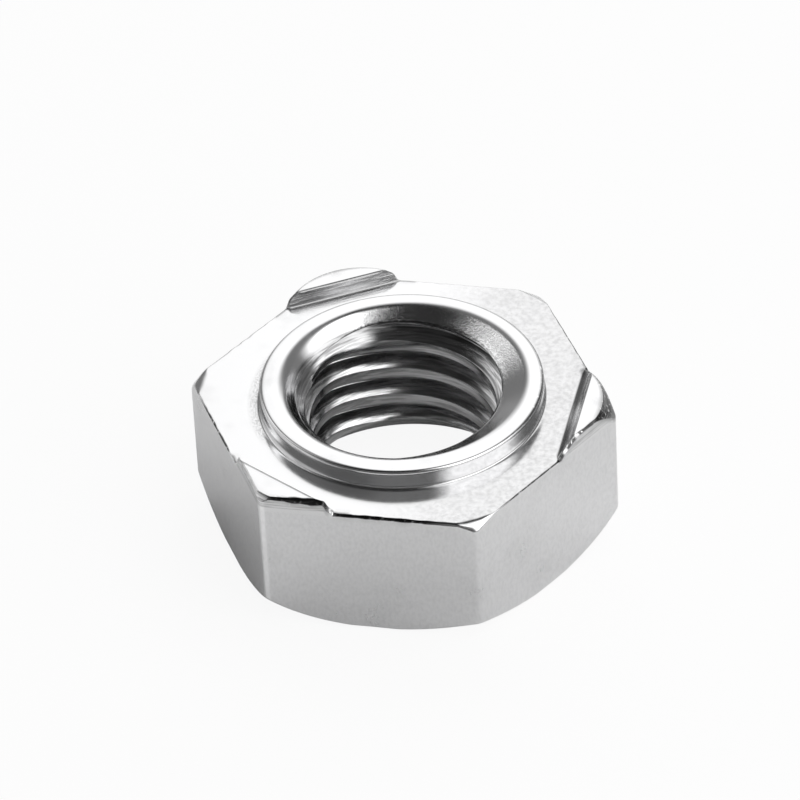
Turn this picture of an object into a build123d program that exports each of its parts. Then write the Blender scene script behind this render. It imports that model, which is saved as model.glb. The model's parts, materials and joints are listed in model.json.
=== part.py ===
from build123d import *
import os
from math import radians, sqrt, tan

# Hex weld nut for an M8 thread, cold-formed from one slug of steel.
#
# Frame: millimetres, +Z up along the thread. z = 0 is the plain bearing face that a
# washer or a bench sees. The opposite face carries the pilot collar, which centres the
# nut in the hole of a sheet, and the three weld projections, which melt into the sheet.
# Two opposite corners of the hexagon lie on the X axis, so two flats face +Y and -Y.

# Hexagon
across_flats = 13.8
body_height = 5.37  # bearing face to weld-side face
upright_edge_radius = 0.3
rim_bevel = 0.08  # broken edge of the flats on the weld side

# Cones that trim the hexagon's corners
bearing_circle_overhang = 0.05  # the bearing face's circle stands this far outside the flats
bearing_chamfer_angle = 33  # from the bearing face
weld_circle_diameter = 15.05  # where the weld-side chamfer begins, at the corners only
weld_chamfer_angle = 30
weld_chamfer_softening = 0.35

# Pilot collar
collar_diameter = 10.46
collar_height = 0.76
collar_edge_radius = 0.14
collar_root_radius = 0.12

# Thread bore: plain at the M8 minor diameter, with a countersink at each mouth
minor_diameter = 6.9
weld_mouth_diameter = 9.12
weld_mouth_angle = 94  # included
weld_mouth_radius = 0.7  # the lip that the press rolls over
bearing_mouth_diameter = 9.7
bearing_mouth_angle = 90  # included

# Weld projections, one on every second corner
projection_count = 3
projection_height = 0.52
projection_foot_distance = 6.5  # thread axis to the foot of the inner wall
projection_wall_lean = 0.26  # how much further out the inner wall stands at its top
projection_centre_distance = 4.85  # thread axis to the centre of the rounded tip
projection_tip_radius = 2.6  # at the top
projection_tip_draft = 42  # from upright
projection_bevel = 0.1
projection_edge_radius = 0.1

# Working sizes
flat_distance = across_flats / 2
corner_distance = across_flats / sqrt(3)
bearing_circle_radius = flat_distance + bearing_circle_overhang
projection_top = body_height + projection_height
collar_top = body_height + collar_height
clear = 1.0  # how far a cutting tool runs past the face that it cuts


def rimmed_hexagon(height, bevel):
    """The hexagon's prism up to a height, with rounded upright edges and a bevelled rim."""
    outline = RegularPolygon(flat_distance, 6, major_radius=False)
    shank = extrude(outline, height - bevel)
    rim = Pos(0, 0, height - bevel) * extrude(outline, bevel, taper=45)
    upright = extrude(fillet(outline.vertices(), upright_edge_radius), height)
    return (shank + rim) & upright


def corner_trimmer(height):
    """A turned disc up to a height, coned at both faces where the hexagon's corners stick out."""
    reach = corner_distance + clear
    weld_circle_radius = weld_circle_diameter / 2
    bearing_rise = (reach - bearing_circle_radius) * tan(radians(bearing_chamfer_angle))
    weld_drop = (reach - weld_circle_radius) * tan(radians(weld_chamfer_angle))
    section = make_face(
        Polyline(
            (0, 0),
            (bearing_circle_radius, 0),
            (reach, bearing_rise),
            (reach, height - weld_drop),
            (weld_circle_radius, height),
            (0, height),
            close=True,
        )
    )
    shoulder = section.vertices().sort_by_distance((weld_circle_radius, height, 0))[0]
    return revolve(Plane.XZ * fillet(shoulder, weld_chamfer_softening), Axis.Z)


def hexagon_body():
    """The nut's body between its bearing face and its weld-side face."""
    return rimmed_hexagon(body_height, rim_bevel) & corner_trimmer(body_height)


def projection_tip():
    """A cone about the projection's own centre, which rounds the tip and the two ends."""
    depth = projection_height + clear
    foot_radius = projection_tip_radius + depth * tan(radians(projection_tip_draft))
    seat = Pos(projection_centre_distance, 0, projection_top - depth)
    rise = (Align.CENTER, Align.CENTER, Align.MIN)
    return seat * Cone(foot_radius, projection_tip_radius, depth, align=rise)


def weld_projection():
    """The projection on the +X corner: the corner carried on upwards, outside a leaning wall.

    Its sides run flush with the two flats and are bevelled at the top, and a cone rounds
    its tip.
    """
    raised = rimmed_hexagon(projection_top, projection_bevel) & projection_tip()
    wall_top = projection_foot_distance + projection_wall_lean
    far = corner_distance + clear
    section = make_face(
        Polyline(
            (projection_foot_distance, body_height - clear),
            (projection_foot_distance, body_height),
            (wall_top, projection_top),
            (far, projection_top),
            (far, body_height - clear),
            close=True,
        )
    )
    edge = section.vertices().sort_by_distance((wall_top, projection_top, 0))[0]
    slice_of_corner = extrude(Plane.XZ * fillet(edge, projection_edge_radius), across_flats, both=True)
    return raised & slice_of_corner


def pilot_collar():
    """The turned collar, with a rounded edge and a fillet at its root."""
    radius = collar_diameter / 2
    skirt = radius + 2 * collar_root_radius
    section = make_face(
        Polyline(
            (0, body_height - clear),
            (skirt, body_height - clear),
            (skirt, body_height),
            (radius, body_height),
            (radius, collar_top),
            (0, collar_top),
            close=True,
        )
    )
    root = section.vertices().sort_by_distance((radius, body_height, 0))[0]
    section = fillet(root, collar_root_radius)
    edge = section.vertices().sort_by_distance((radius, collar_top, 0))[0]
    return revolve(Plane.XZ * fillet(edge, collar_edge_radius), Axis.Z)


def bore():
    """The cutting tool for the thread's bore and the countersinks at its two mouths."""
    minor_radius = minor_diameter / 2
    weld_radius = weld_mouth_diameter / 2
    bearing_radius = bearing_mouth_diameter / 2
    weld_depth = (weld_radius - minor_radius) / tan(radians(weld_mouth_angle / 2))
    bearing_depth = (bearing_radius - minor_radius) / tan(radians(bearing_mouth_angle / 2))
    section = make_face(
        Polyline(
            (0, -clear),
            (bearing_radius, -clear),
            (bearing_radius, 0),
            (minor_radius, bearing_depth),
            (minor_radius, collar_top - weld_depth),
            (weld_radius, collar_top),
            (weld_radius + clear, collar_top),
            (weld_radius + clear, collar_top + clear),
            (0, collar_top + clear),
            close=True,
        )
    )
    mouth = section.vertices().sort_by_distance((weld_radius, collar_top, 0))[0]
    return revolve(Plane.XZ * fillet(mouth, weld_mouth_radius), Axis.Z)


def weld_nut():
    """The whole nut: body, projections and collar in one piece, bored through."""
    nut = hexagon_body()
    for corner in PolarLocations(0, projection_count):
        nut += corner * weld_projection()
    return nut + pilot_collar() - bore()


os.makedirs("parts", exist_ok=True)
nut = weld_nut()
nut.label = "weld_nut"
export_step(nut, "parts/weld_nut.step")
print("weld_nut", nut.is_valid, "solids", len(nut.solids()), "volume mm3", round(nut.volume, 2))
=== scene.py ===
# %% [markdown]
# # A hex weld nut, modelled as one numpy surface
#
# The nut is one piece of cold-formed steel: a hexagonal body, a round pilot collar, three
# weld projections and a tapped bore. This file dresses the fixed CAD frame with a finer
# surface of the same nut, gives it the finish of bright plated steel, and sets up a small
# studio around it. Lengths are worked out in millimetres and turned into metres when they go
# into a mesh.

import json
from math import cos, pi, radians, sqrt, tan

import bpy
import numpy as np
from mathutils import Matrix, Vector


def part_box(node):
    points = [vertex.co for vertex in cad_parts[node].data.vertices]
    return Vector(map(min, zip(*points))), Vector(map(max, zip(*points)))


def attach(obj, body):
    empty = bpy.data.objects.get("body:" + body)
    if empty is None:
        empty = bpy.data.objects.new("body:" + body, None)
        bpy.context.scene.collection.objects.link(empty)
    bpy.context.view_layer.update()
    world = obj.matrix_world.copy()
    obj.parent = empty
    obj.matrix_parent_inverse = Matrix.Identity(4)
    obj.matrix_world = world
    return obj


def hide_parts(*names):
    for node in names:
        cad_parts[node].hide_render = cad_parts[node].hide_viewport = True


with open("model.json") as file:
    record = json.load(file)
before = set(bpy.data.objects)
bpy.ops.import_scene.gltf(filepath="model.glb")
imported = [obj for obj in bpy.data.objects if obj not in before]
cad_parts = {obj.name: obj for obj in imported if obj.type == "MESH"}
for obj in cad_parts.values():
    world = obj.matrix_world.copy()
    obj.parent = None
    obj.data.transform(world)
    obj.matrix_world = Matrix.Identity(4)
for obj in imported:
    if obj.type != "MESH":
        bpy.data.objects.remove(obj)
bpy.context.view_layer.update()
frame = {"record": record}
MM = 0.001

# %% [markdown]
# ## The sizes that the frame already holds
#
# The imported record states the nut's interfaces: the thread's bore, the pilot collar, the
# weld-side face and the projections. Reading them there, instead of writing them again,
# keeps the dressed nut on the CAD nut when a size changes.

# %% Sizes from the frame
mounts = {m["name"]: m for m in frame["record"]["mounts"]}
_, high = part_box("weld_nut")
flat_distance = high.y / MM  # from the axis to each flat
nut_height = high.z / MM
crest_radius = mounts["thread"]["dims"]["r_mm"]
collar_radius = mounts["pilot_collar"]["dims"]["r_mm"]
body_height = mounts["weld_side_face"]["pos_m"][2] / MM
projection_top = mounts["weld_projection_1"]["pos_m"][2] / MM
print(f"across flats {2 * flat_distance:.2f} mm, height {nut_height:.2f} mm")

# %% [markdown]
# ## Columns: where the surface is cut by upright half-planes
#
# The nut's surface closes on itself twice, like a ring's: once round the axis, and once round
# its section. So one grid can hold all of it. A column is a half-plane through the axis, and
# its section is a closed outline of radius and height. The columns crowd together where the
# outline changes fast, at the hexagon's six corners and at the ends of the projections.

# %% The column angles
COLUMNS = 540
PROJECTION_END = radians(19)
THIRD = 2 * pi / 3


def column_angles(count):
    """Angles from 0 to a full turn, at equal steps of the running total of a density.

    The density is 1 plus a bell at each corner and at each end of each projection.
    """
    fine = np.linspace(0, 2 * pi, 20001)
    from_projection = (fine + THIRD / 2) % THIRD - THIRD / 2
    from_free_corner = (fine + THIRD) % THIRD - THIRD / 2
    # each bell: angles, its middle, its height and its width
    bells = [(from_projection, 0, 3.0, 0.025), (from_free_corner, 0, 3.0, 0.025)]
    bells += [(from_projection, way * PROJECTION_END, 1.6, 0.05) for way in (-1, 1)]
    density = 1 + sum(a * np.exp(-(((x - x0) / w) ** 2)) for x, x0, a, w in bells)
    total = np.concatenate([[0], np.cumsum((density[1:] + density[:-1]) / 2)])
    return np.interp(np.linspace(0, total[-1], count + 1), total, fine)


theta = column_angles(COLUMNS)
print(f"{COLUMNS} columns, the closest {np.degrees(np.diff(theta).min()):.2f} degrees apart")

# %% [markdown]
# ## The hexagon as a distance from the axis
#
# Along a flat, the distance to the side is the flat's own distance divided by the cosine of
# the angle from its normal. Near a corner a small circle that touches both flats takes over.
# Its centre lies on the corner's diagonal.

# %% The hexagon's side
UPRIGHT_EDGE = 0.3


def hexagon_radius(angle):
    """Distance from the axis to the rounded hexagon at each angle, with corners at 0, 60, 120...

    Flat: flat_distance / cos(angle from the flat's normal). Corner: the far crossing of the ray
    with a circle of radius UPRIGHT_EDGE centred on the diagonal.
    """
    from_corner = (angle + pi / 6) % (pi / 3) - pi / 6
    from_normal = pi / 6 - np.abs(from_corner)
    straight = flat_distance / np.cos(from_normal)
    centre = (flat_distance - UPRIGHT_EDGE) / cos(pi / 6)
    under = UPRIGHT_EDGE**2 - (centre * np.sin(from_corner)) ** 2
    rounded = centre * np.cos(from_corner) + np.sqrt(np.maximum(under, 0))
    touch = pi / 6 - np.arctan((flat_distance - UPRIGHT_EDGE) / flat_distance * tan(pi / 6))
    return np.where(np.abs(from_corner) < touch, rounded, straight)


side = hexagon_radius(theta)
print(f"side from {side.min():.2f} to {side.max():.2f} mm off the axis")

# %% [markdown]
# ## Small unevenness
#
# A pressed edge is never quite even. A sum of sine waves round the axis, with fixed random
# phases, gives a soft unevenness that closes on itself after a full turn.

# %% Unevenness round the axis
chance = np.random.default_rng(11)


def uneven(lowest, highest, count):
    """Sum of count sine waves round the axis between two wave counts, scaled to about +-1."""
    waves = chance.integers(lowest, highest, count)
    phases = chance.uniform(0, 2 * pi, count)
    total = np.sin(waves[:, None] * theta[None, :] + phases[:, None]).sum(0)
    return total / sqrt(count)


rim_uneven = uneven(25, 100, 30)
edge_uneven = uneven(60, 260, 24)
print(f"unevenness from {rim_uneven.min():.2f} to {rim_uneven.max():.2f}")

# %% [markdown]
# ## Weld projections
#
# Each projection is the corner carried on upwards. A leaning inner wall cuts it off towards
# the axis, and its outer side is a cone about the projection's own centre, which leaves it a
# round tip. The press fills the three of them a little differently, so each one has its own
# row of sizes.

# %% The projections' section
PROJECTIONS = [
    # wall: foot line's distance and skew, lean of its lower and upper part, edge rounding
    # tip: centre out and aside, radius, draft from upright; bevels on the sides before and after
    dict(corner=0.0, foot=6.30, skew=0.03, lean=(0.26, 0.20), edge=0.10,
         out=4.85, aside=-0.12, tip=2.62, draft=36, bevels=(0.08, 0.08), swell=0.0),
    dict(corner=THIRD, foot=6.55, skew=0.0, lean=(0.15, 0.06), edge=0.11,
         out=4.85, aside=0.0, tip=2.60, draft=40, bevels=(0.08, 0.08), swell=0.0),
    dict(corner=2 * THIRD, foot=6.50, skew=0.0, lean=(0.15, 0.14), edge=0.30,
         out=4.85, aside=0.0, tip=2.87, draft=40, bevels=(0.10, 0.09), swell=1.0),
]
WALL_BREAK = 0.34  # height of the wall's lower part
WALL_ROUND = 0.10  # rounding of the wall's top edge where there is no projection
RIMS = {-90: 0.085, -30: 0.035, 30: 0.06, 90: 0.06, 150: 0.06, 210: 0.045}  # by flat, in degrees
WELD_CIRCLE = 7.52  # where the cone that trims the corners meets the upper face
WELD_ANGLE = radians(30)
MERGE = 0.02  # the least spacing of neighbouring corners of the outline
PAD_END = 0.15  # room between wall and edge over which a projection's end slopes down
BESIDE = radians(25)  # up to here from a projection, the face's spare rows keep close to the rim
BETWEEN = radians(39)  # and from here on they stand further in, by SPREAD
SPREAD = 0.33
NICK = dict(angle=radians(312), width=radians(6), depth=0.20)  # one stretch of worn chamfer
projection_height = projection_top - body_height


def smooth_step(x):
    """0 below 0, 1 above 1 and 3x^2 - 2x^3 between."""
    x = np.clip(x, 0, 1)
    return x * x * (3 - 2 * x)


def turn_from(angle, corner):
    """The signed angle from a corner, between minus and plus half a turn."""
    return (angle - corner + pi) % (2 * pi) - pi


def rim_size(angle):
    """How far the rim of each flat is rounded in, uneven along it."""
    flats = np.radians(list(RIMS))
    nearest = np.abs(turn_from(angle[None, :], flats[:, None])).argmin(0)
    return np.array(list(RIMS.values()))[nearest] * (1 + 0.15 * rim_uneven)


def ray_to_circle(angle, out, aside, radius):
    """Where the ray at an angle leaves a circle centred (out, aside): b + sqrt(b^2 - c)."""
    along = out * np.cos(angle) + aside * np.sin(angle)
    under = along**2 - (out**2 + aside**2 - radius**2)
    return along + np.sqrt(np.maximum(under, 0))


def cone_height(r, angle, p):
    """Height of a projection's cone over the point at r and angle: flat top, then the draft."""
    x = r * np.cos(angle) - p["out"]
    y = r * np.sin(angle) - p["aside"]
    past = np.maximum(np.hypot(x, y) - p["tip"], 0)
    return projection_top - past / tan(radians(p["draft"]))


def wall_point(t, angle, p):
    """The wall at a share t of its way up: a lower and an upper straight part over the foot line."""
    low, high = p["lean"]
    lean = np.interp(t, [0, 0.5, 1], [0, low, low + high])
    z = body_height + np.interp(t, [0, 0.5, 1], [0, WALL_BREAK, projection_height])
    reach = np.maximum(np.cos(angle) - p["skew"] * np.sin(angle), 0.2)
    return (p["foot"] + lean) / reach, z


def edge_size(angle, side):
    """How far each flat's top edge is rounded in: the rim's size, or a projection's bevel.

    Towards its end, the bevel is held to 0.6 of the room between the wall's foot and the side.
    """
    size = rim_size(angle)
    for p in PROJECTIONS:
        turn = turn_from(angle, p["corner"])
        bevel = np.interp(turn, np.radians([-6, 6]), p["bevels"])
        bevel = bevel * (1 + p["swell"] * smooth_step((turn - radians(1)) / radians(13)))
        room = side - wall_point(0 * turn, turn, p)[0]
        bevel = np.minimum(bevel * (1 + 0.1 * rim_uneven), 0.6 * room)
        size = np.where(np.cos(turn) > 0.5, np.maximum(bevel, size), size)
    return size


def wall_top(turn, limit, p):
    """The wall's top as (share of its height, radius, height): where it meets the cone or limit.

    It is found by halving the interval between the wall's foot and its full height.
    """
    a, b = 0 * turn, 1 + 0 * turn
    for _ in range(30):
        middle = (a + b) / 2
        r, z = wall_point(middle, turn, p)
        below = (z < cone_height(r, turn, p)) & (r < limit)
        a, b = np.where(below, middle, a), np.where(below, b, middle)
    return a, *wall_point(a, turn, p)


def over_projection(turn, size, side, p):
    """A projection's wall foot, break, top and rim, its side's top, and where it stands.

    The rim follows the cone's tip circle and slopes down to the face towards the wall's ends.
    """
    foot, _ = wall_point(0 * turn, turn, p)
    limit = side - size - MERGE
    room = limit - foot
    here = (room > 0) & (np.cos(turn) > 0.5)
    share, top, top_z = wall_top(turn, limit, p)
    broken, broken_z = wall_point(np.minimum(0.5, 0.7 * share), turn, p)
    rim = ray_to_circle(turn, p["out"], p["aside"], p["tip"])
    rim = np.clip(rim, top + MERGE, np.maximum(side - size, top + MERGE))
    rise = np.clip(cone_height(rim, turn, p), body_height, projection_top) - body_height
    rim_z = body_height + rise * smooth_step(room / PAD_END)
    side_top = np.minimum(cone_height(side, turn, p), rim_z - size)
    wall = [(foot, body_height), (broken, np.minimum(broken_z, rim_z)), (top, np.minimum(top_z, rim_z))]
    return [*wall, (rim, rim_z)], side_top, here


def upper_outline(angle, side):
    """Five corners of the section: the wall's foot, break and top, the rim, the side's top.

    Away from the projections the first three lie on the flat face inside the rim, so the grid
    keeps its rows.
    """
    size = edge_size(angle, side)
    worn = NICK["depth"] * np.exp(-((turn_from(angle, NICK["angle"]) / NICK["width"]) ** 2))
    chamfer = body_height - np.maximum(side - WELD_CIRCLE + worn, 0) * tan(WELD_ANGLE)
    flat = np.full_like(angle, body_height)
    rim = np.minimum(side - size, WELD_CIRCLE)
    side_top = np.minimum(chamfer, body_height - size)
    from_pad = np.abs(turn_from(angle, np.round(angle / THIRD) * THIRD))
    inset = MERGE + SPREAD * smooth_step((from_pad - BESIDE) / (BETWEEN - BESIDE))
    corners = [(rim - share * inset, flat) for share in (1.6, 1.3, 1, 0)]
    wall_round = np.full_like(angle, WALL_ROUND)
    for p in PROJECTIONS:
        raised, edge_z, here = over_projection(turn_from(angle, p["corner"]), size, side, p)
        pairs = zip(raised, corners)
        corners = [tuple(np.where(here, new, old) for new, old in zip(*pair)) for pair in pairs]
        edge_z = np.minimum(np.maximum(edge_z, side_top), corners[3][1] - MERGE)
        side_top = np.where(here, edge_z, side_top)
        wall_round = np.where(here, p["edge"], wall_round)
    return [*corners, (side, side_top)], wall_round


upper, wall_round = upper_outline(theta, side)
print(f"the projections reach {upper[3][1].max():.2f} mm, the side up to {upper[4][1].max():.2f} mm")

# %% [markdown]
# ## The thread
#
# The bore is tapped M8 x 1.25, right-hand. The thread's profile is a trapezium: a flat crest,
# two flanks and a narrow root. The countersinks cut into the thread, so at each point the
# surface takes whichever is further from the axis, thread or cone. The tap has bitten deeper
# on one side, where the bore is out of round.

# %% The bore's radius
PITCH = 1.25
ROOT_RADIUS = 4.0
CREST_FLAT = 0.40  # along the axis
ROOT_FLAT = 0.16
CREST_START = 4.785  # height of a crest's lower edge at a quarter turn
SOFTNESS = 0.02  # rounding where the thread runs into a cone
LOWER_MOUTH_RADIUS = 5.0  # on the bearing face, where a 45 degree cone opens the bore
BORE_LOW = 1.1  # the height where that cone's level rows give way to the thread's
COUNTERSINK = dict(out=-0.25, aside=0.03, radius=3.95, height=5.70)  # a little off the axis
BITE = dict(angle=radians(147), width=radians(23), depth=0.27, fades_over=0.6)


def rounded_outline(corners):
    """The rows of a rounded outline, as arrays of radius and height, one line per row.

    A rounding of radius q takes q * tan(half the turn) off both edges, at most 0.45 of the
    shorter one, and is the quadratic curve (1-s)^2 A + 2 s (1-s) C + s^2 B through there.
    """
    points = [np.stack([r, z]) for r, z, *_ in corners]
    gaps = [b - a for a, b in zip(points, points[1:])]
    sizes = [np.maximum(np.hypot(*g), 1e-9) for g in gaps]
    ways = [g / s for g, s in zip(gaps, sizes)]
    rows = []
    last = points[0]
    for i, (_, _, rounding, in_round, on_edge) in enumerate(corners):
        if i in (0, len(corners) - 1):
            start, end, curve = points[i], points[i], [points[i]]
        else:
            dot = np.clip((ways[i - 1] * ways[i]).sum(0), -0.98, 1)
            reach = rounding * np.sqrt((1 - dot) / (1 + dot))
            reach = np.minimum(reach, 0.45 * np.minimum(sizes[i - 1], sizes[i]))
            start, end = points[i] - ways[i - 1] * reach, points[i] + ways[i] * reach
            steps = np.linspace(0, 1, in_round)
            curve = [(1 - s) ** 2 * start + 2 * s * (1 - s) * points[i] + s * s * end for s in steps]
        if i:
            spread = (1 - np.cos(pi * np.arange(1, between + 1) / (between + 1))) / 2
            rows += [last + (start - last) * s for s in spread]
        rows += curve
        last, between = end, on_edge
    return np.stack(rows)


def thread_profile():
    """One pitch of the profile as rounded rows: height from the crest's middle, and radius."""
    crest, root = CREST_FLAT / 2, (PITCH - ROOT_FLAT) / 2
    levels = [(-PITCH / 2, ROOT_RADIUS), (-root, ROOT_RADIUS), (-crest, crest_radius)]
    levels += [(crest, crest_radius), (root, ROOT_RADIUS), (PITCH / 2, ROOT_RADIUS)]
    in_root, on_crest = (0.06, 3), (0.035, 3)  # rounding, and points in it
    roundings = [(0, 1, 0), (*in_root, 2), (*on_crest, 1), (*on_crest, 2), (*in_root, 0), (0, 1, 0)]
    one = np.ones(1)
    corners = [(one * z, one * r, *rounding) for (z, r), rounding in zip(levels, roundings)]
    rows = rounded_outline(corners)[:, :, 0]
    return rows[:-1, 0], rows[:-1, 1]


def larger(a, b):
    """The larger of two arrays, blended over SOFTNESS: (a + b + sqrt((a-b)^2 + k^2)) / 2."""
    return (a + b + np.sqrt((a - b) ** 2 + SOFTNESS**2)) / 2


def countersink(z):
    """The upper countersink's 45 degree cone: distance from the axis at height z."""
    c = COUNTERSINK
    return ray_to_circle(theta, c["out"], c["aside"], c["radius"] + z - c["height"])


def bore_radius(z):
    """The bore's distance from the axis at height z: the outermost of thread and two cones."""
    phase = (z - crest_height + PITCH / 2) % PITCH - PITCH / 2
    thread = np.interp(phase, np.append(lift, PITCH / 2), np.append(profile, ROOT_RADIUS))
    bite = BITE["depth"] * np.exp(-((turn_from(theta, BITE["angle"]) / BITE["width"]) ** 2))
    bite = bite * smooth_step((COUNTERSINK["height"] - z) / BITE["fades_over"])
    return larger(larger(thread + bite, countersink(z)), LOWER_MOUTH_RADIUS - z)


lift, profile = thread_profile()
crest_height = CREST_START + CREST_FLAT / 2 + PITCH * (theta / (2 * pi) - 0.25)
print(f"a crest climbs from {crest_height[0]:.2f} to {crest_height[-1]:.2f} mm in a turn")

# %% [markdown]
# ## The section as a rounded outline
#
# Below the side, a cone about the axis trims the corners: it meets each flat in a hyperbola,
# which is the curved lower edge that every turned hex nut shows. Nothing formed in a press
# has a sharp edge, so each corner of the outline is rounded, by a curve that leaves one edge
# and joins the next along their tangents. The bore's upper mouth has two steps: a rolled lip
# that the press leaves, and inside it the smooth countersink of the tap drill.

# %% The section's corners
BEARING_CIRCLE = flat_distance + 0.05
BEARING_ANGLE = radians(33)
# how much higher the press leaves each corner, and the edge at the middle of each flat
CORNER_WEAR = {0: 0.25, 60: 0.20, 120: 0.20, 180: 0.25, 240: 0.22, 300: 0.0}
FLAT_WEAR = {30: 0.10, 90: 0.10, 150: 0.12, 210: 0.15, 270: 0.15, 330: 0.03}
LIP = dict(out=0.08, aside=0.10, radius=4.52)  # the punched lip's circle, a little off the axis
LEDGE = 0.045  # width of the ledge between lip and countersink
SUPPORT = 0.04  # a level row this far under the ledge keeps the shading of its edge even
NO_LEDGE = radians(205)  # on this side the lip runs down into the countersink without a ledge
SUNK = 0.30  # how much lower the lip reaches there

no_ledge = smooth_step((np.cos(theta - NO_LEDGE) + 0.1) / 0.9)
bore_high = COUNTERSINK["height"] - SUNK * no_ledge


def level(value):
    """The same value at every column."""
    return np.full_like(theta, value)


# the corners between the projections are the softest: 1 within 4 degrees of one, 0 from 15 on
free_corner = np.abs(turn_from(theta, np.round(theta / THIRD - 0.5) * THIRD + THIRD / 2))
soft_corner = smooth_step((radians(15) - free_corner) / radians(11))
ledge_middle = (bore_radius(bore_high) + LEDGE / 2, bore_high + 0.01)


def wear(table):
    """The values of a table of angles in degrees, read off in between along straight lines."""
    return np.interp(np.degrees(theta), list(table), list(table.values()), period=360)


def section_corners():
    """The section's corners from the bore's upper end, out over the collar, and back below.

    Each is (radius, height, rounding, points in the rounding, points on the edge after it).
    """
    beyond = np.maximum(side - BEARING_CIRCLE, 0)
    corner = beyond / beyond.max()
    worn = wear(FLAT_WEAR)
    side_low = beyond * tan(BEARING_ANGLE) + wear(CORNER_WEAR) * corner**2 + worn
    seat = np.minimum(side, BEARING_CIRCLE) - MERGE - 1.5 * worn
    foot, broken, top, rim, shoulder = upper
    inner = bore_radius(bore_high)
    lip = ray_to_circle(theta, LIP["out"], LIP["aside"], LIP["radius"])
    ledge = (LEDGE + 0.012 * edge_uneven) * (1 - 0.8 * no_ledge)
    above = inner + LEDGE + 0.04
    slope = (nut_height - bore_high) / (lip - inner)
    mouth = [
        (bore_radius(bore_high - SUPPORT), bore_high - SUPPORT, 0, 1, 0),
        (inner, bore_high, 0.006, 2, 0),
        (inner + ledge, bore_high + 0.3 * ledge, 0.01, 2, 0),
        (above, bore_high + (above - inner) * slope, 0.02, 2, 2),
        (lip, level(nut_height), 0.65 + 0.35 * no_ledge, 14, 2),
    ]
    collar = [
        (level(collar_radius), level(nut_height), 0.16, 7, 3),
        (level(collar_radius), level(body_height), 0.12, 6, 6),
    ]
    projection_and_rim = [
        (*foot, 0.10, 5, 1),
        (*broken, 0.12, 4, 1),
        (*top, wall_round, 7, 2),
        (*rim, 0.06 + 0.45 * soft_corner, 6, 1),
        (*shoulder, 0.06 + 0.40 * soft_corner, 6, 6),
    ]
    bearing_side = [
        (side, side_low, 0.10 + 0.25 * corner, 6, 2),
        (seat, level(0), 0.08, 4, 3),
        (level(LOWER_MOUTH_RADIUS), level(0), 0.10, 5, 1),
        (level(LOWER_MOUTH_RADIUS - BORE_LOW), level(BORE_LOW), 0, 1, 0),
    ]
    return [*mouth, *collar, *projection_and_rim, *bearing_side]


outer = rounded_outline(section_corners())
print(f"{len(outer)} rows outside the bore")

# %% [markdown]
# ## Rows that follow the thread
#
# Rows that follow the helix keep the crests' edges crisp, so the bore's rows climb by one
# pitch in a turn. At the bore's two ends they are held back to a level ring, and the rows
# that pile up there are merged.

# %% The bore's rows


def bore_rows():
    """Rows of the bore from its lower to its upper end, helical in between."""
    first = int(np.floor((BORE_LOW - crest_height.max()) / PITCH))
    last = int(np.ceil((bore_high.max() - crest_height.min()) / PITCH))
    steps = (np.arange(first, last + 1)[:, None] * PITCH + lift[None, :]).ravel()
    z = np.clip(steps[:, None] + crest_height[None, :], BORE_LOW, bore_high[None, :] - SUPPORT)
    return np.stack([bore_radius(z), z], 1)


bore = bore_rows()
print(f"{len(bore)} rows in the bore, {PITCH} mm pitch")

# %% [markdown]
# ## One closed mesh
#
# The outer rows and the bore's rows join end to end, so each column is a closed loop. Turning
# radius, angle and height into points gives the vertices, and every four neighbours make a
# face. The first and last columns lie on each other, and so do the rows that were held back.
# Merging them closes the surface, and its enclosed volume tells whether it faces outwards.

# %% From rows to faces
WELD_DISTANCE = 1e-5  # in millimetres


def grid_faces(rows, columns, closed=True):
    """Quads between neighbouring rows and columns, as vertex indices; closed rows wrap round."""
    between = rows if closed else rows - 1
    row, column = np.meshgrid(np.arange(between), np.arange(columns - 1), indexing="ij")
    above = (row + 1) % rows
    quad = [row * columns + column, row * columns + column + 1]
    quad += [above * columns + column + 1, above * columns + column]
    return np.stack(quad, -1).reshape(-1, 4)


def welded(points, quads):
    """Points with the coincident ones merged, which they were, and the quads and triangles left.

    A quad that has lost one side is a triangle, and one that has lost two has no area.
    """
    keys = np.round(points / WELD_DISTANCE).astype(np.int64)
    _, first, index = np.unique(keys, axis=0, return_index=True, return_inverse=True)
    quads = index.reshape(-1)[quads]
    lost = quads == np.roll(quads, -1, axis=1)
    whole = quads[lost.sum(1) == 0]
    narrow = lost.sum(1) == 1
    kept = np.stack([np.roll(quads, -k, axis=1)[:, 1:] for k in range(4)], 1)
    return points[first], first, whole, kept[narrow, lost[narrow].argmax(1)]


rows = np.concatenate([outer[:-1], bore[:-1]])  # each end row is also the other one's first
print(f"{len(rows)} rows of {len(theta)} points")

# %% Tests of the surface


def enclosed_volume(points, triangles):
    """Sum of a . (b x c) / 6 over the triangles, positive when they face outwards."""
    a, b, c = (points[triangles[:, k]] for k in range(3))
    return (a * np.cross(b, c)).sum() / 6


def open_edge_count(faces):
    """How many edges don't belong to just two faces."""
    edges = [np.stack([f, np.roll(f, -1, axis=1)], -1).reshape(-1, 2) for f in faces]
    _, uses = np.unique(np.sort(np.concatenate(edges), axis=1), axis=0, return_counts=True)
    return int((uses != 2).sum())


# %% From faces to a mesh


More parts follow.
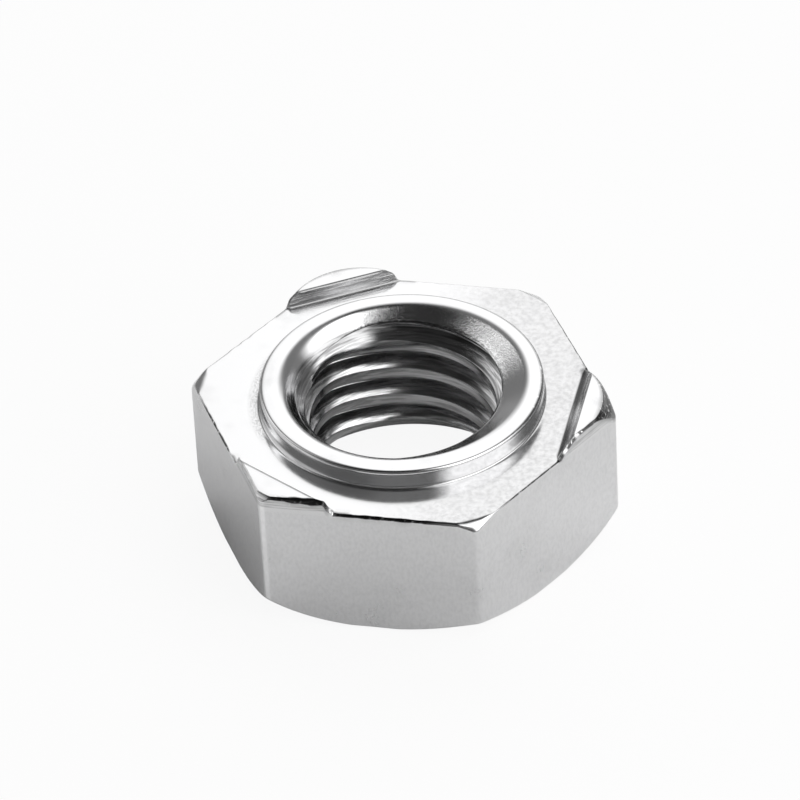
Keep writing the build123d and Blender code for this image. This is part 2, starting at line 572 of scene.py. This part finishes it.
def mesh_from_rows(name, rows, marks):
    """A closed, smooth, outward-facing mesh from rows of (radius, height) at the columns.

    Each array in marks, of one value for each row and column, becomes a point attribute.
    """
    r, z = rows[:, 0], rows[:, 1]
    points = np.stack([r * np.cos(theta), r * np.sin(theta), z], -1).reshape(-1, 3)
    points, first, quads, triangles = welded(points, grid_faces(len(rows), len(theta)))
    all_triangles = np.concatenate([quads[:, :3], quads[:, [0, 2, 3]], triangles])
    volume = enclosed_volume(points, all_triangles)
    if volume < 0:
        quads, triangles = quads[:, ::-1], triangles[:, ::-1]
    mesh = bpy.data.meshes.new(name)
    mesh.from_pydata(points * MM, [], quads.tolist() + triangles.tolist())
    mesh.shade_smooth()
    for mark, values in marks.items():
        attribute = mesh.attributes.new(mark, "FLOAT", "POINT")
        attribute.data.foreach_set("value", values.reshape(-1)[first].astype(np.float32))
    print(f"{name}: {len(all_triangles)} triangles, {abs(volume):.1f} mm3, "
          f"{open_edge_count([quads, triangles])} open edges")
    return mesh


# %% [markdown]
# ## Where painted shade and a brighter stripe lie
#
# A dark line along the rims, the ledge and the collar's far edge, and darker bands on the
# projections' walls, are painted shade. A narrow upright stripe below two projections is
# brighter metal. These marks follow edges, which a material can't find by place alone. So each
# is worked out here from the outline's own corners, and kept on the vertices as an attribute
# that the material reads.

# %% Marks on the edges
# stretches of the turn as (middle, reach, softness), in degrees
# the rims carry the painted dark line, except in these stretches
UNSHADED_RIMS = [(228, 14, 2), (259.3, 1.0, 1.0), (344.4, 0.7, 0.8), (339.0, 0.7, 0.8)]
# stretches of painted shade on the ledge and on the collar's far outer edge
DARK_LEDGE = (100, 36, 10)
DARK_COLLAR_EDGE = (55, 85, 30)
# the second projection's end, which takes painted shade, as (middle, reach)
SHADED_CORNER = (140.5, 1.8)
PROJECTION_CORNERS = (0, 120, 240)


def near(rows, point, width):
    """1 within half a width of a corner of the outline, falling to 0 at one and a half."""
    return smooth_step(1.5 - np.hypot(rows[:, 0] - point[0], rows[:, 1] - point[1]) / width)


def around(centre, reach, soft=1.0):
    """1 at the columns within reach of an angle, fading over soft; all in degrees."""
    away = np.abs(np.degrees(turn_from(theta, radians(centre))))
    return smooth_step(0.5 + (reach - away) / soft)


def halfway(a, b):
    """The point halfway between two corners of the outline."""
    return [(p + q) / 2 for p, q in zip(a, b)]


def painted_edge_shade(rows):
    """Painted shade on the edges: a dark line on each rim, part of the ledge and the collar's far outer
    edge.
    """
    rim, shoulder = upper[3:]
    width = np.hypot(rim[0] - shoulder[0], rim[1] - shoulder[1])
    middle = halfway(rim, shoulder)
    away = np.hypot(rows[:, 0] - middle[0], rows[:, 1] - middle[1])
    unshaded = np.max([around(*stretch) for stretch in UNSHADED_RIMS], 0)
    on_rim = smooth_step(1.6 - 2 * away / width) * (1 - np.maximum(soft_corner, unshaded))
    on_ledge = near(rows, ledge_middle, 0.03) * around(*DARK_LEDGE)
    collar_edge = (collar_radius - 0.06, nut_height - 0.04)
    on_collar = 0.6 * near(rows, collar_edge, 0.07) * around(*DARK_COLLAR_EDGE)
    return np.max([on_rim, on_ledge, on_collar], 0)


def projection_wall_shade(rows):
    """Painted shade on the projections' walls: along the foot, the upper edge or the lower half."""
    foot, broken, top = upper[:3]
    on_projections = np.max([around(corner, 24, 2) for corner in PROJECTION_CORNERS], 0)
    first, second, third = PROJECTION_CORNERS
    end_of_second = (rows[:, 1] > body_height + 0.02) * (rows[:, 0] > 6.5)
    return np.max([
        0.6 * near(rows, foot, 0.06) * on_projections,
        0.75 * near(rows, halfway(foot, broken), 0.15) * around(first, 22, 2),
        0.8 * near(rows, top, 0.045) * around(second, 18, 2),
        0.6 * near(rows, top, 0.08) * around(third, 18, 2),
        0.9 * end_of_second * around(*SHADED_CORNER),
    ], 0)


def brighter_stripe(rows):
    """A brighter stripe on one side of the upright edges below two projections: 1 there, 0 elsewhere.
    """
    stripe = np.max([around(corner + 0.5, 0.65, 0.5) for corner in PROJECTION_CORNERS[1:]], 0)
    return stripe * (rows[:, 0] > side - 0.02) * smooth_step((rows[:, 1] - 0.6) / 0.5)


marks = dict(dark=painted_edge_shade(rows), wall_shade=projection_wall_shade(rows), bright_stripe=brighter_stripe(rows))
for mark, values in marks.items():
    print(f"{mark} covers {100 * values.mean():.1f}% of the grid")

# %% [markdown]
# ## The nut in the scene
#
# The new surface stands for the CAD nut, which stays hidden for collision, and rides on the
# same body. Smooth shading would round off the wide flats next to their narrow rims. Normals
# weighted by face area keep the flats flat and leave the bending to the rims.

# %% The nut
nut = bpy.data.objects.new("weld_nut_surface", mesh_from_rows("weld_nut_surface", rows, marks))
bpy.context.scene.collection.objects.link(nut)
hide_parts("weld_nut")
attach(nut, "root")
flatten = nut.modifiers.new("flats stay flat", "WEIGHTED_NORMAL")
flatten.mode = "FACE_AREA"
flatten.weight = 50

# %% [markdown]
# ## Node trees in short calls
#
# A material is a graph of small nodes. Adding each one takes three or four lines, which hide
# the formula. A small class with one call for each kind of node lets a material be read as
# arithmetic.

# %% Short calls for nodes


class Graph:
    """A node tree of a material or world, with short calls that add a node."""

    def __init__(self, owner):
        owner.use_nodes = True
        self.nodes, self.links = owner.node_tree.nodes, owner.node_tree.links

    def put(self, value, socket):
        """Link an output to a socket, or set a plain value on it."""
        if isinstance(value, bpy.types.NodeSocket):
            self.links.new(value, socket)
        else:
            socket.default_value = value

    def math(self, operation, *values):
        """One arithmetic node."""
        node = self.nodes.new("ShaderNodeMath")
        node.operation = operation
        for value, socket in zip(values, node.inputs):
            self.put(value, socket)
        return node.outputs[0]

    def product(self, first, *others):
        """All the values multiplied together."""
        for value in others:
            first = self.math("MULTIPLY", first, value)
        return first

    def total(self, start, *terms):
        """start + weight * value * value ... for each term of (weight, value, value ...)."""
        for weight, *values in terms:
            start = self.math("MULTIPLY_ADD", self.product(*values), weight, start)
        return start

    def vector(self, operation, a, b=None):
        """One vector node, such as MULTIPLY or LENGTH."""
        node = self.nodes.new("ShaderNodeVectorMath")
        node.operation = operation
        self.put(a, node.inputs[0])
        if b is not None:
            self.put(b, node.inputs[1])
        return node.outputs["Value" if operation == "LENGTH" else "Vector"]

    def step(self, value, start, end):
        """A smooth step from 0 at start to 1 at end, either way round."""
        node = self.nodes.new("ShaderNodeMapRange")
        node.interpolation_type = "SMOOTHSTEP"
        flip = start > end
        node.inputs["From Min"].default_value = min(start, end)
        node.inputs["From Max"].default_value = max(start, end)
        node.inputs["To Min"].default_value = float(flip)
        node.inputs["To Max"].default_value = float(not flip)
        self.put(value, node.inputs["Value"])
        return node.outputs["Result"]

    def noise(self, place, stretch, detail, fourth=0.0):
        """Noise from 0 to 1 with stretch waves to the millimetre along each axis."""
        node = self.nodes.new("ShaderNodeTexNoise")
        node.noise_dimensions = "4D"
        node.inputs["Scale"].default_value = 1
        node.inputs["Detail"].default_value = detail
        self.put(self.vector("MULTIPLY", place, stretch), node.inputs["Vector"])
        self.put(fourth, node.inputs["W"])
        return node.outputs["Fac"]

    def mix(self, factor, a, b):
        """Colour a turning into colour b as factor goes from 0 to 1."""
        node = self.nodes.new("ShaderNodeMix")
        node.data_type = "RGBA"
        for value, name in ((factor, "Factor"), (a, "A"), (b, "B")):
            self.put(value, node.inputs[name])
        return node.outputs["Result"]

    def attribute(self, name):
        """An attribute's value, read from the vertices."""
        node = self.nodes.new("ShaderNodeAttribute")
        node.attribute_name = name
        return node.outputs["Fac"]

    def place(self):
        """Object coordinates in millimetres: as a vector, as x, y and z, and off the axis."""
        metres = self.nodes.new("ShaderNodeTexCoord").outputs["Object"]
        place = self.vector("MULTIPLY", metres, (1 / MM, 1 / MM, 1 / MM))
        split = self.nodes.new("ShaderNodeSeparateXYZ")
        self.links.new(place, split.inputs[0])
        return place, *split.outputs, self.vector("LENGTH", self.vector("MULTIPLY", place, (1, 1, 0)))


# %% [markdown]
# ## Where each tool has worked
#
# Bright steel shows hardly any colour of its own. It mirrors what stands around it, a little
# blurred. What tells it from chrome is the work on it: the tap leaves dark streaks round the
# bore, the press leaves a grain on the lip, the drawn flats keep faint upright lines, and the
# whole surface is slightly uneven. Each mark belongs to a zone that a few steps of radius and
# height, in millimetres, tell apart. Two zones hold painted shade instead: the thread's roots,
# and the weld face towards +x.

# %% Zones of the surface


def zones(g, x, y, height, radius):
    """Masks from 0 to 1 for the places that look different, by name."""
    bore = g.product(g.step(radius, 4.25, 4.05), g.step(height, 5.74, 5.64))
    lip = g.product(g.step(radius, 4.66, 4.50), g.step(height, 5.64, 5.74))
    at_collar = g.product(g.step(radius, 5.24, 5.30), g.step(radius, 5.75, 5.45))
    at_face = g.product(g.step(height, 5.33, 5.36), g.step(height, 5.42, 5.39))
    above_face = g.product(g.step(height, 5.42, 5.46), g.step(height, 5.88, 5.86))
    return {
        "bore": bore,
        # painted shade in the thread's roots
        "thread root shade": g.product(bore, g.step(radius, 3.72, 3.92)),
        "grainy lip": g.product(lip, g.step(y, 0.3, 2.0), g.step(x, -2.5, -1.9)),
        "collar foot": g.product(at_collar, g.step(x, -4.2, -4.9), g.step(height, 5.33, 5.36)),
        "flats": g.product(g.step(height, 5.30, 5.20), g.step(radius, 6.6, 6.8)),
        # darker towards +x: painted shade
        "weld face shade": g.product(at_face, g.step(x, -1.0, 4.0)),
        "walls": g.product(above_face, g.step(radius, 6.2, 6.3)),
    }


# %% [markdown]
# ## What the tools leave
#
# Each mark is a noise in the nut's own coordinates, stretched along the way the tool went. A
# streak round the bore needs coordinates that change slowly round the axis and fast across it.
# The direction from the axis and the height do that, with the radius as a fourth coordinate.

# %% Tool marks


def tool_marks(g, place, x, y, height, radius):
    """Noises from 0 to 1, by name, most of them sharpened by a step."""
    outwards = g.nodes.new("ShaderNodeCombineXYZ")
    inverse = g.math("DIVIDE", 1.0, radius)
    for value, socket in zip((g.product(x, inverse), g.product(y, inverse), height), outwards.inputs):
        g.put(value, socket)
    across = g.product(radius, 12.0)
    grain = g.noise(place, (21.0, 21.0, 21.0), 3.0)
    lines = g.noise(place, (9.0, 9.0, 5.0), 4.0)
    return {
        "streaks": g.step(g.noise(outwards.outputs[0], (3.2, 3.2, 12.0), 3.0, across), 0.40, 0.62),
        "grain": grain,
        "pits": g.step(grain, 0.42, 0.60),
        "lines": lines,
        "dark lines": g.step(lines, 0.35, 0.70),
        "mottle": g.step(g.noise(place, (5.0, 5.0, 5.0), 6.0), 0.30, 0.75),
        "scores": g.step(g.noise(place, (0.7, 0.7, 13.0), 3.0), 0.38, 0.62),
        "worn patches": g.step(g.noise(place, (0.55, 0.55, 0.55), 4.0), 0.50, 0.72),
        "peening": g.noise(place, (2.2, 2.2, 2.2), 3.0),
        "gaps in edge shade": g.step(g.noise(place, (7.0, 7.0, 7.0), 2.0), 0.30, 0.44),
    }


# %% [markdown]
# ## Bright plated steel
#
# One number, the share of bare metal that is darkened, mixes the metal's colour with near
# black. It adds up the marks, each in its own zone: tool marks, grain and pits, and painted
# shade in the bore, the thread's roots, on the weld face, along the edges and on the
# projections' walls. The same marks make the mirror rougher and raise or sink it by a few
# thousandths of a millimetre.

# %% The steel
BARE = (0.78, 0.78, 0.785, 1)
# the metal's colour in that brighter stripe
BRIGHTER_METAL = (0.93, 0.93, 0.935, 1)
# near black, for both the marks and the painted shade
MARKS_AND_SHADE_COLOUR = (0.03, 0.03, 0.03, 1)


def marks_and_shade(g, at, mark):
    """The share of bare metal darkened by marks and by painted shade, from 0 to about 1."""
    share = g.total(
        0.0,
        # the bore's darker base: thinner plating and tap streaks, and partly painted shade inside the
        # bore
        (0.10, at["bore"]),
        (0.34, at["bore"], mark["streaks"]),
        # painted shade in the thread's roots
        (0.25, at["thread root shade"]),
        # the weld face darker towards +x: painted shade, with mottling over it
        (0.10, at["weld face shade"]),
        (0.20, at["weld face shade"], mark["mottle"]),
        (0.40, at["walls"], mark["scores"]),
        (0.34, at["grainy lip"], mark["pits"]),
        (0.40, at["collar foot"], mark["pits"]),
        (0.08, at["flats"], mark["dark lines"]),
        (0.05, mark["worn patches"]),
    )
    # the painted dark line along the rims, the ledge and the collar's far edge, broken by gaps
    shaded_edges = g.product(g.attribute("dark"), mark["gaps in edge shade"], 0.95)
    # painted shade on the projections' walls, with a grain
    wall_shade = g.product(g.attribute("wall_shade"), g.total(0.65, (0.6, mark["grain"])))
    return g.math("MAXIMUM", g.math("MAXIMUM", share, shaded_edges), wall_shade)


def relief(g, at, mark):
    """How far the surface stands proud, in thousandths of a millimetre."""
    return g.total(
        0.0,
        (1.2, mark["peening"]),
        (1.0, at["bore"], mark["streaks"]),
        (3.0, at["walls"], mark["scores"]),
        (6.5, at["grainy lip"], mark["grain"]),
        (3.0, at["collar foot"], mark["grain"]),
        (0.8, at["flats"], mark["lines"]),
    )


def plated_steel():
    """Metal with a blurred mirror finish, darker and rougher where tools have cut it, and darker where
    shade is painted.
    """
    material = bpy.data.materials.new("plated_steel")
    g = Graph(material)
    place, x, y, height, radius = g.place()
    at = zones(g, x, y, height, radius)
    mark = tool_marks(g, place, x, y, height, radius)
    bump = g.nodes.new("ShaderNodeBump")
    bump.inputs["Strength"].default_value = 1
    bump.inputs["Distance"].default_value = 1e-3 * MM
    g.put(relief(g, at, mark), bump.inputs["Height"])
    # brighter metal in a narrow stripe on two upright edges
    metal = g.mix(g.attribute("bright_stripe"), BARE, BRIGHTER_METAL)
    roughness = g.total(
        0.15,
        (-0.02, at["bore"]),
        (0.04, at["grainy lip"]),
        (0.10, at["flats"], mark["lines"]),
        (0.08, mark["worn patches"]),
    )
    shader = g.nodes["Principled BSDF"].inputs
    shader["Metallic"].default_value = 1
    g.put(g.mix(marks_and_shade(g, at, mark), metal, MARKS_AND_SHADE_COLOUR), shader["Base Color"])
    g.put(roughness, shader["Roughness"])
    g.put(bump.outputs["Normal"], shader["Normal"])
    print(f"plated_steel: {len(g.nodes)} nodes")
    return material


nut.data.materials.append(plated_steel())

# %% [markdown]
# ## The pale floor
#
# The floor has to be plain and almost white, and still take the nut's shadow. Lamps bright
# enough to make a floor white would burn out a pale nut. So most of what the camera sees of the
# floor is its own glow, at a strength of 1, and the rest is a matt surface that the lamps light
# and the nut shades.

# %% The floor
FLOOR_HALF = 1.0  # in metres
FLOOR_DROP = 2e-6  # a hair below the nut, so that the two faces don't lie in one plane
FLOOR_GLOW = 0.92  # the glowing share of the floor as the camera sees it
FLOOR_GLOW_MIRRORED = 0.02


def pale_share(g, camera, mirrored):
    """Camera ray * camera + (glossy ray + transmission ray) * mirrored, from Light Path."""
    ray = g.nodes.new("ShaderNodeLightPath").outputs
    terms = [("Is Camera Ray", camera), ("Is Glossy Ray", mirrored), ("Is Transmission Ray", mirrored)]
    return g.total(0.0, *((share, ray[name]) for name, share in terms))


def pale_floor():
    """A matt white material with a share of white glow."""
    material = bpy.data.materials.new("pale_floor")
    g = Graph(material)
    shader = g.nodes["Principled BSDF"]
    shader.inputs["Base Color"].default_value = (0.95, 0.95, 0.95, 1)
    shader.inputs["Roughness"].default_value = 1
    shader.inputs["Specular IOR Level"].default_value = 0
    glow = g.nodes.new("ShaderNodeEmission")
    glow.inputs["Color"].default_value = (1, 1, 1, 1)
    mix = g.nodes.new("ShaderNodeMixShader")
    inputs = (pale_share(g, FLOOR_GLOW, FLOOR_GLOW_MIRRORED), shader.outputs[0], glow.outputs[0])
    for value, socket in zip(inputs, mix.inputs):
        g.put(value, socket)
    g.put(mix.outputs[0], g.nodes["Material Output"].inputs["Surface"])
    return material


square = np.array([(-1, -1), (1, -1), (1, 1), (-1, 1)]) * FLOOR_HALF
floor_mesh = bpy.data.meshes.new("floor")
floor_mesh.from_pydata([(x, y, -FLOOR_DROP) for x, y in square], [], [(0, 1, 2, 3)])
floor = bpy.data.objects.new("floor", floor_mesh)
bpy.context.scene.collection.objects.link(floor)
floor.data.materials.append(pale_floor())
print(f"the floor is {2 * FLOOR_HALF} m across")

# %% [markdown]
# ## What the nut mirrors
#
# A mirror finish is lit by what stands around it, more than by lamps. A studio surrounds bright
# metal with a tent of grey cloth, white softboxes that give the light faces, and black flags
# that give the dark ones. A dome does the work of the tent here: the brightness that each
# direction shows is worked out at its vertices, and only mirrors see it.

# %% The cards of the tent
TENT_GREY = 0.20
SOFT_EDGE = 16  # softness of each card's upper and lower side, in degrees
# middle, half widths and softness in degrees, and brightness as mirrored; with a tilt, a card's
# middle climbs by that many degrees for each degree of azimuth
CARDS = {
    "front_flag": dict(azimuth=-20, elevation=62, half_width=90, half_height=20, soft=30,
                       brightness=0.03),
    "low_flag": dict(azimuth=-15, elevation=12, half_width=52, half_height=20, soft=30,
                     brightness=0.09),
    "ceiling_flag": dict(azimuth=0, elevation=90, half_width=360, half_height=22, soft=1,
                         brightness=0.03),
    "left_reflector": dict(azimuth=-88, elevation=17, half_width=31, half_height=14, soft=26,
                           brightness=0.85),
    "left_window": dict(azimuth=-113, elevation=44, half_width=14, half_height=6, soft=12,
                        brightness=2.2, tilt=0.95),
    "front_gap": dict(azimuth=8, elevation=38, half_width=24, half_height=2, soft=20,
                      brightness=0.34),
    "right_softbox": dict(azimuth=76, elevation=44, half_width=34, half_height=32, soft=18,
                          brightness=1.85),
    "back_softbox": dict(azimuth=182, elevation=37, half_width=23, half_height=29, soft=26,
                         brightness=1.34),
}


def tent_brightness(azimuth, elevation):
    """Grey cloth under the cards: each adds (its brightness - what is there) * soft-edged steps."""
    value = np.full_like(azimuth, TENT_GREY)
    for card in CARDS.values():
        aside = (azimuth - card["azimuth"] + 180) % 360 - 180
        above = elevation - card["elevation"] - card.get("tilt", 0) * aside
        across = smooth_step(0.5 + (card["half_width"] - np.abs(aside)) / card["soft"])
        along = smooth_step(0.5 + (card["half_height"] - np.abs(above)) / SOFT_EDGE)
        value = value + (card["brightness"] - value) * across * along
    return value


print(len(CARDS), "cards in the tent")

# %% The tent
TENT_RADIUS = 0.5  # in metres
TENT_COLUMNS, TENT_ROWS = 181, 81


def tent_glow():
    """A material that shines as brightly as the attribute on the vertices says."""
    material = bpy.data.materials.new("light_tent")
    g = Graph(material)
    g.nodes.clear()
    glow = g.nodes.new("ShaderNodeEmission")
    g.put(g.attribute("brightness"), glow.inputs["Strength"])
    g.put(glow.outputs[0], g.nodes.new("ShaderNodeOutputMaterial").inputs["Surface"])
    return material


def light_tent():
    """A dome round the nut that only mirrors see, with its brightness kept on its vertices.

    A point: (sin azimuth * cos elevation, -cos azimuth * cos elevation, sin elevation) * radius.
    """
    turns, heights = np.linspace(0, 360, TENT_COLUMNS), np.linspace(2, 90, TENT_ROWS)
    azimuth, elevation = np.meshgrid(turns, heights)
    a, e = np.radians(azimuth), np.radians(elevation)
    points = np.stack([np.sin(a) * np.cos(e), -np.cos(a) * np.cos(e), np.sin(e)], -1)
    faces = grid_faces(TENT_ROWS, TENT_COLUMNS, closed=False)
    mesh = bpy.data.meshes.new("light_tent")
    mesh.from_pydata(points.reshape(-1, 3) * TENT_RADIUS, [], faces.tolist())
    brightness = tent_brightness(azimuth, elevation)
    attribute = mesh.attributes.new("brightness", "FLOAT", "POINT")
    attribute.data.foreach_set("value", brightness.ravel().astype(np.float32))
    mesh.materials.append(tent_glow())
    tent = bpy.data.objects.new("light_tent", mesh)
    bpy.context.scene.collection.objects.link(tent)
    tent.visible_camera = False
    tent.visible_diffuse = False
    tent.visible_shadow = False
    print(f"the tent's brightness runs from {brightness.min():.2f} to {brightness.max():.2f}")
    return tent


light_tent()

# %% [markdown]
# ## Lamps for the floor
#
# The tent gives no light to matt surfaces, so two square lamps stand where its softboxes are
# and light the floor. Their power follows from how much light each should shed there.

# %% Lamps
LAMPS = {"back_softbox": 0.34, "right_softbox": 0.60}  # light that each sheds on the floor
LAMP_DISTANCE = 0.3  # in metres


def direction(azimuth, elevation):
    """Unit vector towards azimuth (0 looks from -Y, 90 from +X) and elevation in degrees."""
    a, e = radians(azimuth), radians(elevation)
    return Vector((np.sin(a) * np.cos(e), -np.cos(a) * np.cos(e), np.sin(e)))


def softbox(name, shed):
    """A square lamp aimed at the nut, of power shed * (pi * distance)^2 / sin(elevation)."""
    box = CARDS[name]
    away = direction(box["azimuth"], box["elevation"])
    lamp = bpy.data.lights.new(name, "AREA")
    lamp.shape = "SQUARE"
    lamp.size = 2 * LAMP_DISTANCE * np.tan(radians(box["half_height"]))
    lamp.energy = shed * (pi * LAMP_DISTANCE) ** 2 / away.z
    lamp_object = bpy.data.objects.new(name, lamp)
    lamp_object.location = away * LAMP_DISTANCE
    lamp_object.rotation_euler = away.to_track_quat("Z", "Y").to_euler()
    lamp_object.visible_camera = False
    lamp_object.visible_glossy = False
    bpy.context.scene.collection.objects.link(lamp_object)
    print(name, round(lamp.energy, 3), "W")
    return lamp_object


for name, shed in LAMPS.items():
    softbox(name, shed)

# %% [markdown]
# ## The world behind the floor
#
# The world is white to the camera and to mirrors, so that the floor has no visible end. To
# matt surfaces it is dim, and gives the soft light that reaches into the shadow.

# %% The world
SHADE = 0.14  # light on the floor from the rest of the room
world = bpy.data.worlds.new("studio")
bpy.context.scene.world = world
sky = Graph(world)
background = sky.nodes["Background"].inputs
background["Color"].default_value = (1, 1, 1, 1)
sky.put(sky.total(SHADE, (1 - SHADE, pale_share(sky, 1, 1))), background["Strength"])
print(f"the world sheds {SHADE} on the floor")

# %% [markdown]
# ## The camera
#
# A long lens from a quarter of a metre flattens the view, as in a catalogue, and keeps the
# upright edges almost parallel. The aim is a little above the nut's foot, across the line of
# sight, and the camera leans slightly to one side.

# %% The camera
VIEW = dict(azimuth=12.27, elevation=39.97, roll=-3.08, distance=252.6)
AIM = dict(right=-0.308, up=4.065)  # from the middle of the bearing face, across the view
LENS = 305.6  # for a sensor 36 mm wide


def studio_camera():
    """The camera: a long lens, looking down at 40 degrees and a little from the right."""
    back = direction(VIEW["azimuth"], VIEW["elevation"])
    right = direction(VIEW["azimuth"] + 90, 0)
    up = back.cross(right)
    roll = radians(VIEW["roll"])
    turned_right = right * cos(roll) + up * np.sin(roll)
    turned_up = up * cos(roll) - right * np.sin(roll)
    eye = back * VIEW["distance"]
    look = (eye - turned_right * AIM["right"] - turned_up * AIM["up"]).normalized()
    across = turned_up.cross(look).normalized()
    upward = look.cross(across)
    camera = bpy.data.cameras.new("camera")
    camera.lens = LENS
    camera.sensor_width = 36
    camera.clip_start = 0.01
    place = bpy.data.objects.new("camera", camera)
    turn = Matrix((across, upward, look)).transposed().to_4x4()
    place.matrix_world = Matrix.Translation(eye * MM) @ turn
    bpy.context.scene.collection.objects.link(place)
    bpy.context.scene.camera = place
    print(f"the camera stands {eye.length:.1f} mm from the nut")
    return place


studio_camera()
bpy.context.scene.view_settings.view_transform = "Standard"
